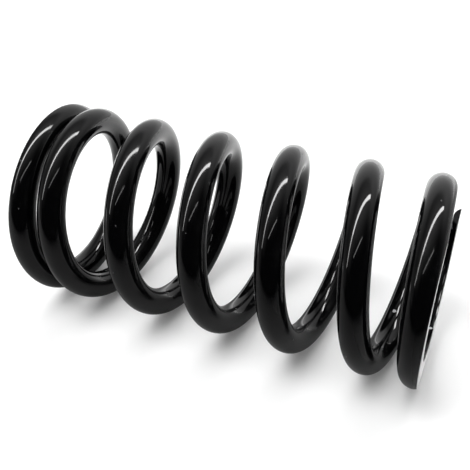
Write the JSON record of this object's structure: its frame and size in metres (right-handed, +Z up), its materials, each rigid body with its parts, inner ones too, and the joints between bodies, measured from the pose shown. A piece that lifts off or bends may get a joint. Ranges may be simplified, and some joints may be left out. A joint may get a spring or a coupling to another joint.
{
  "type": "compression spring",
  "caption": "Closed and ground compression spring of round wire, gloss black, that carries an axial load over a shaft or damper body.",
  "frame": {"origin": "centre of the coil at the bottom ground end", "axes": "+Z up the coil's axis to the top ground end; the bottom tip of the wire lies on -X"},
  "size_m": [0.0874, 0.0874, 0.1775],
  "materials": {
    "black_coating": "smooth gloss black coating on steel, over the ground ends too"
  },
  "bodies": {
    "root": {"coil_spring": "black_coating"}
  },
  "joints": []
}
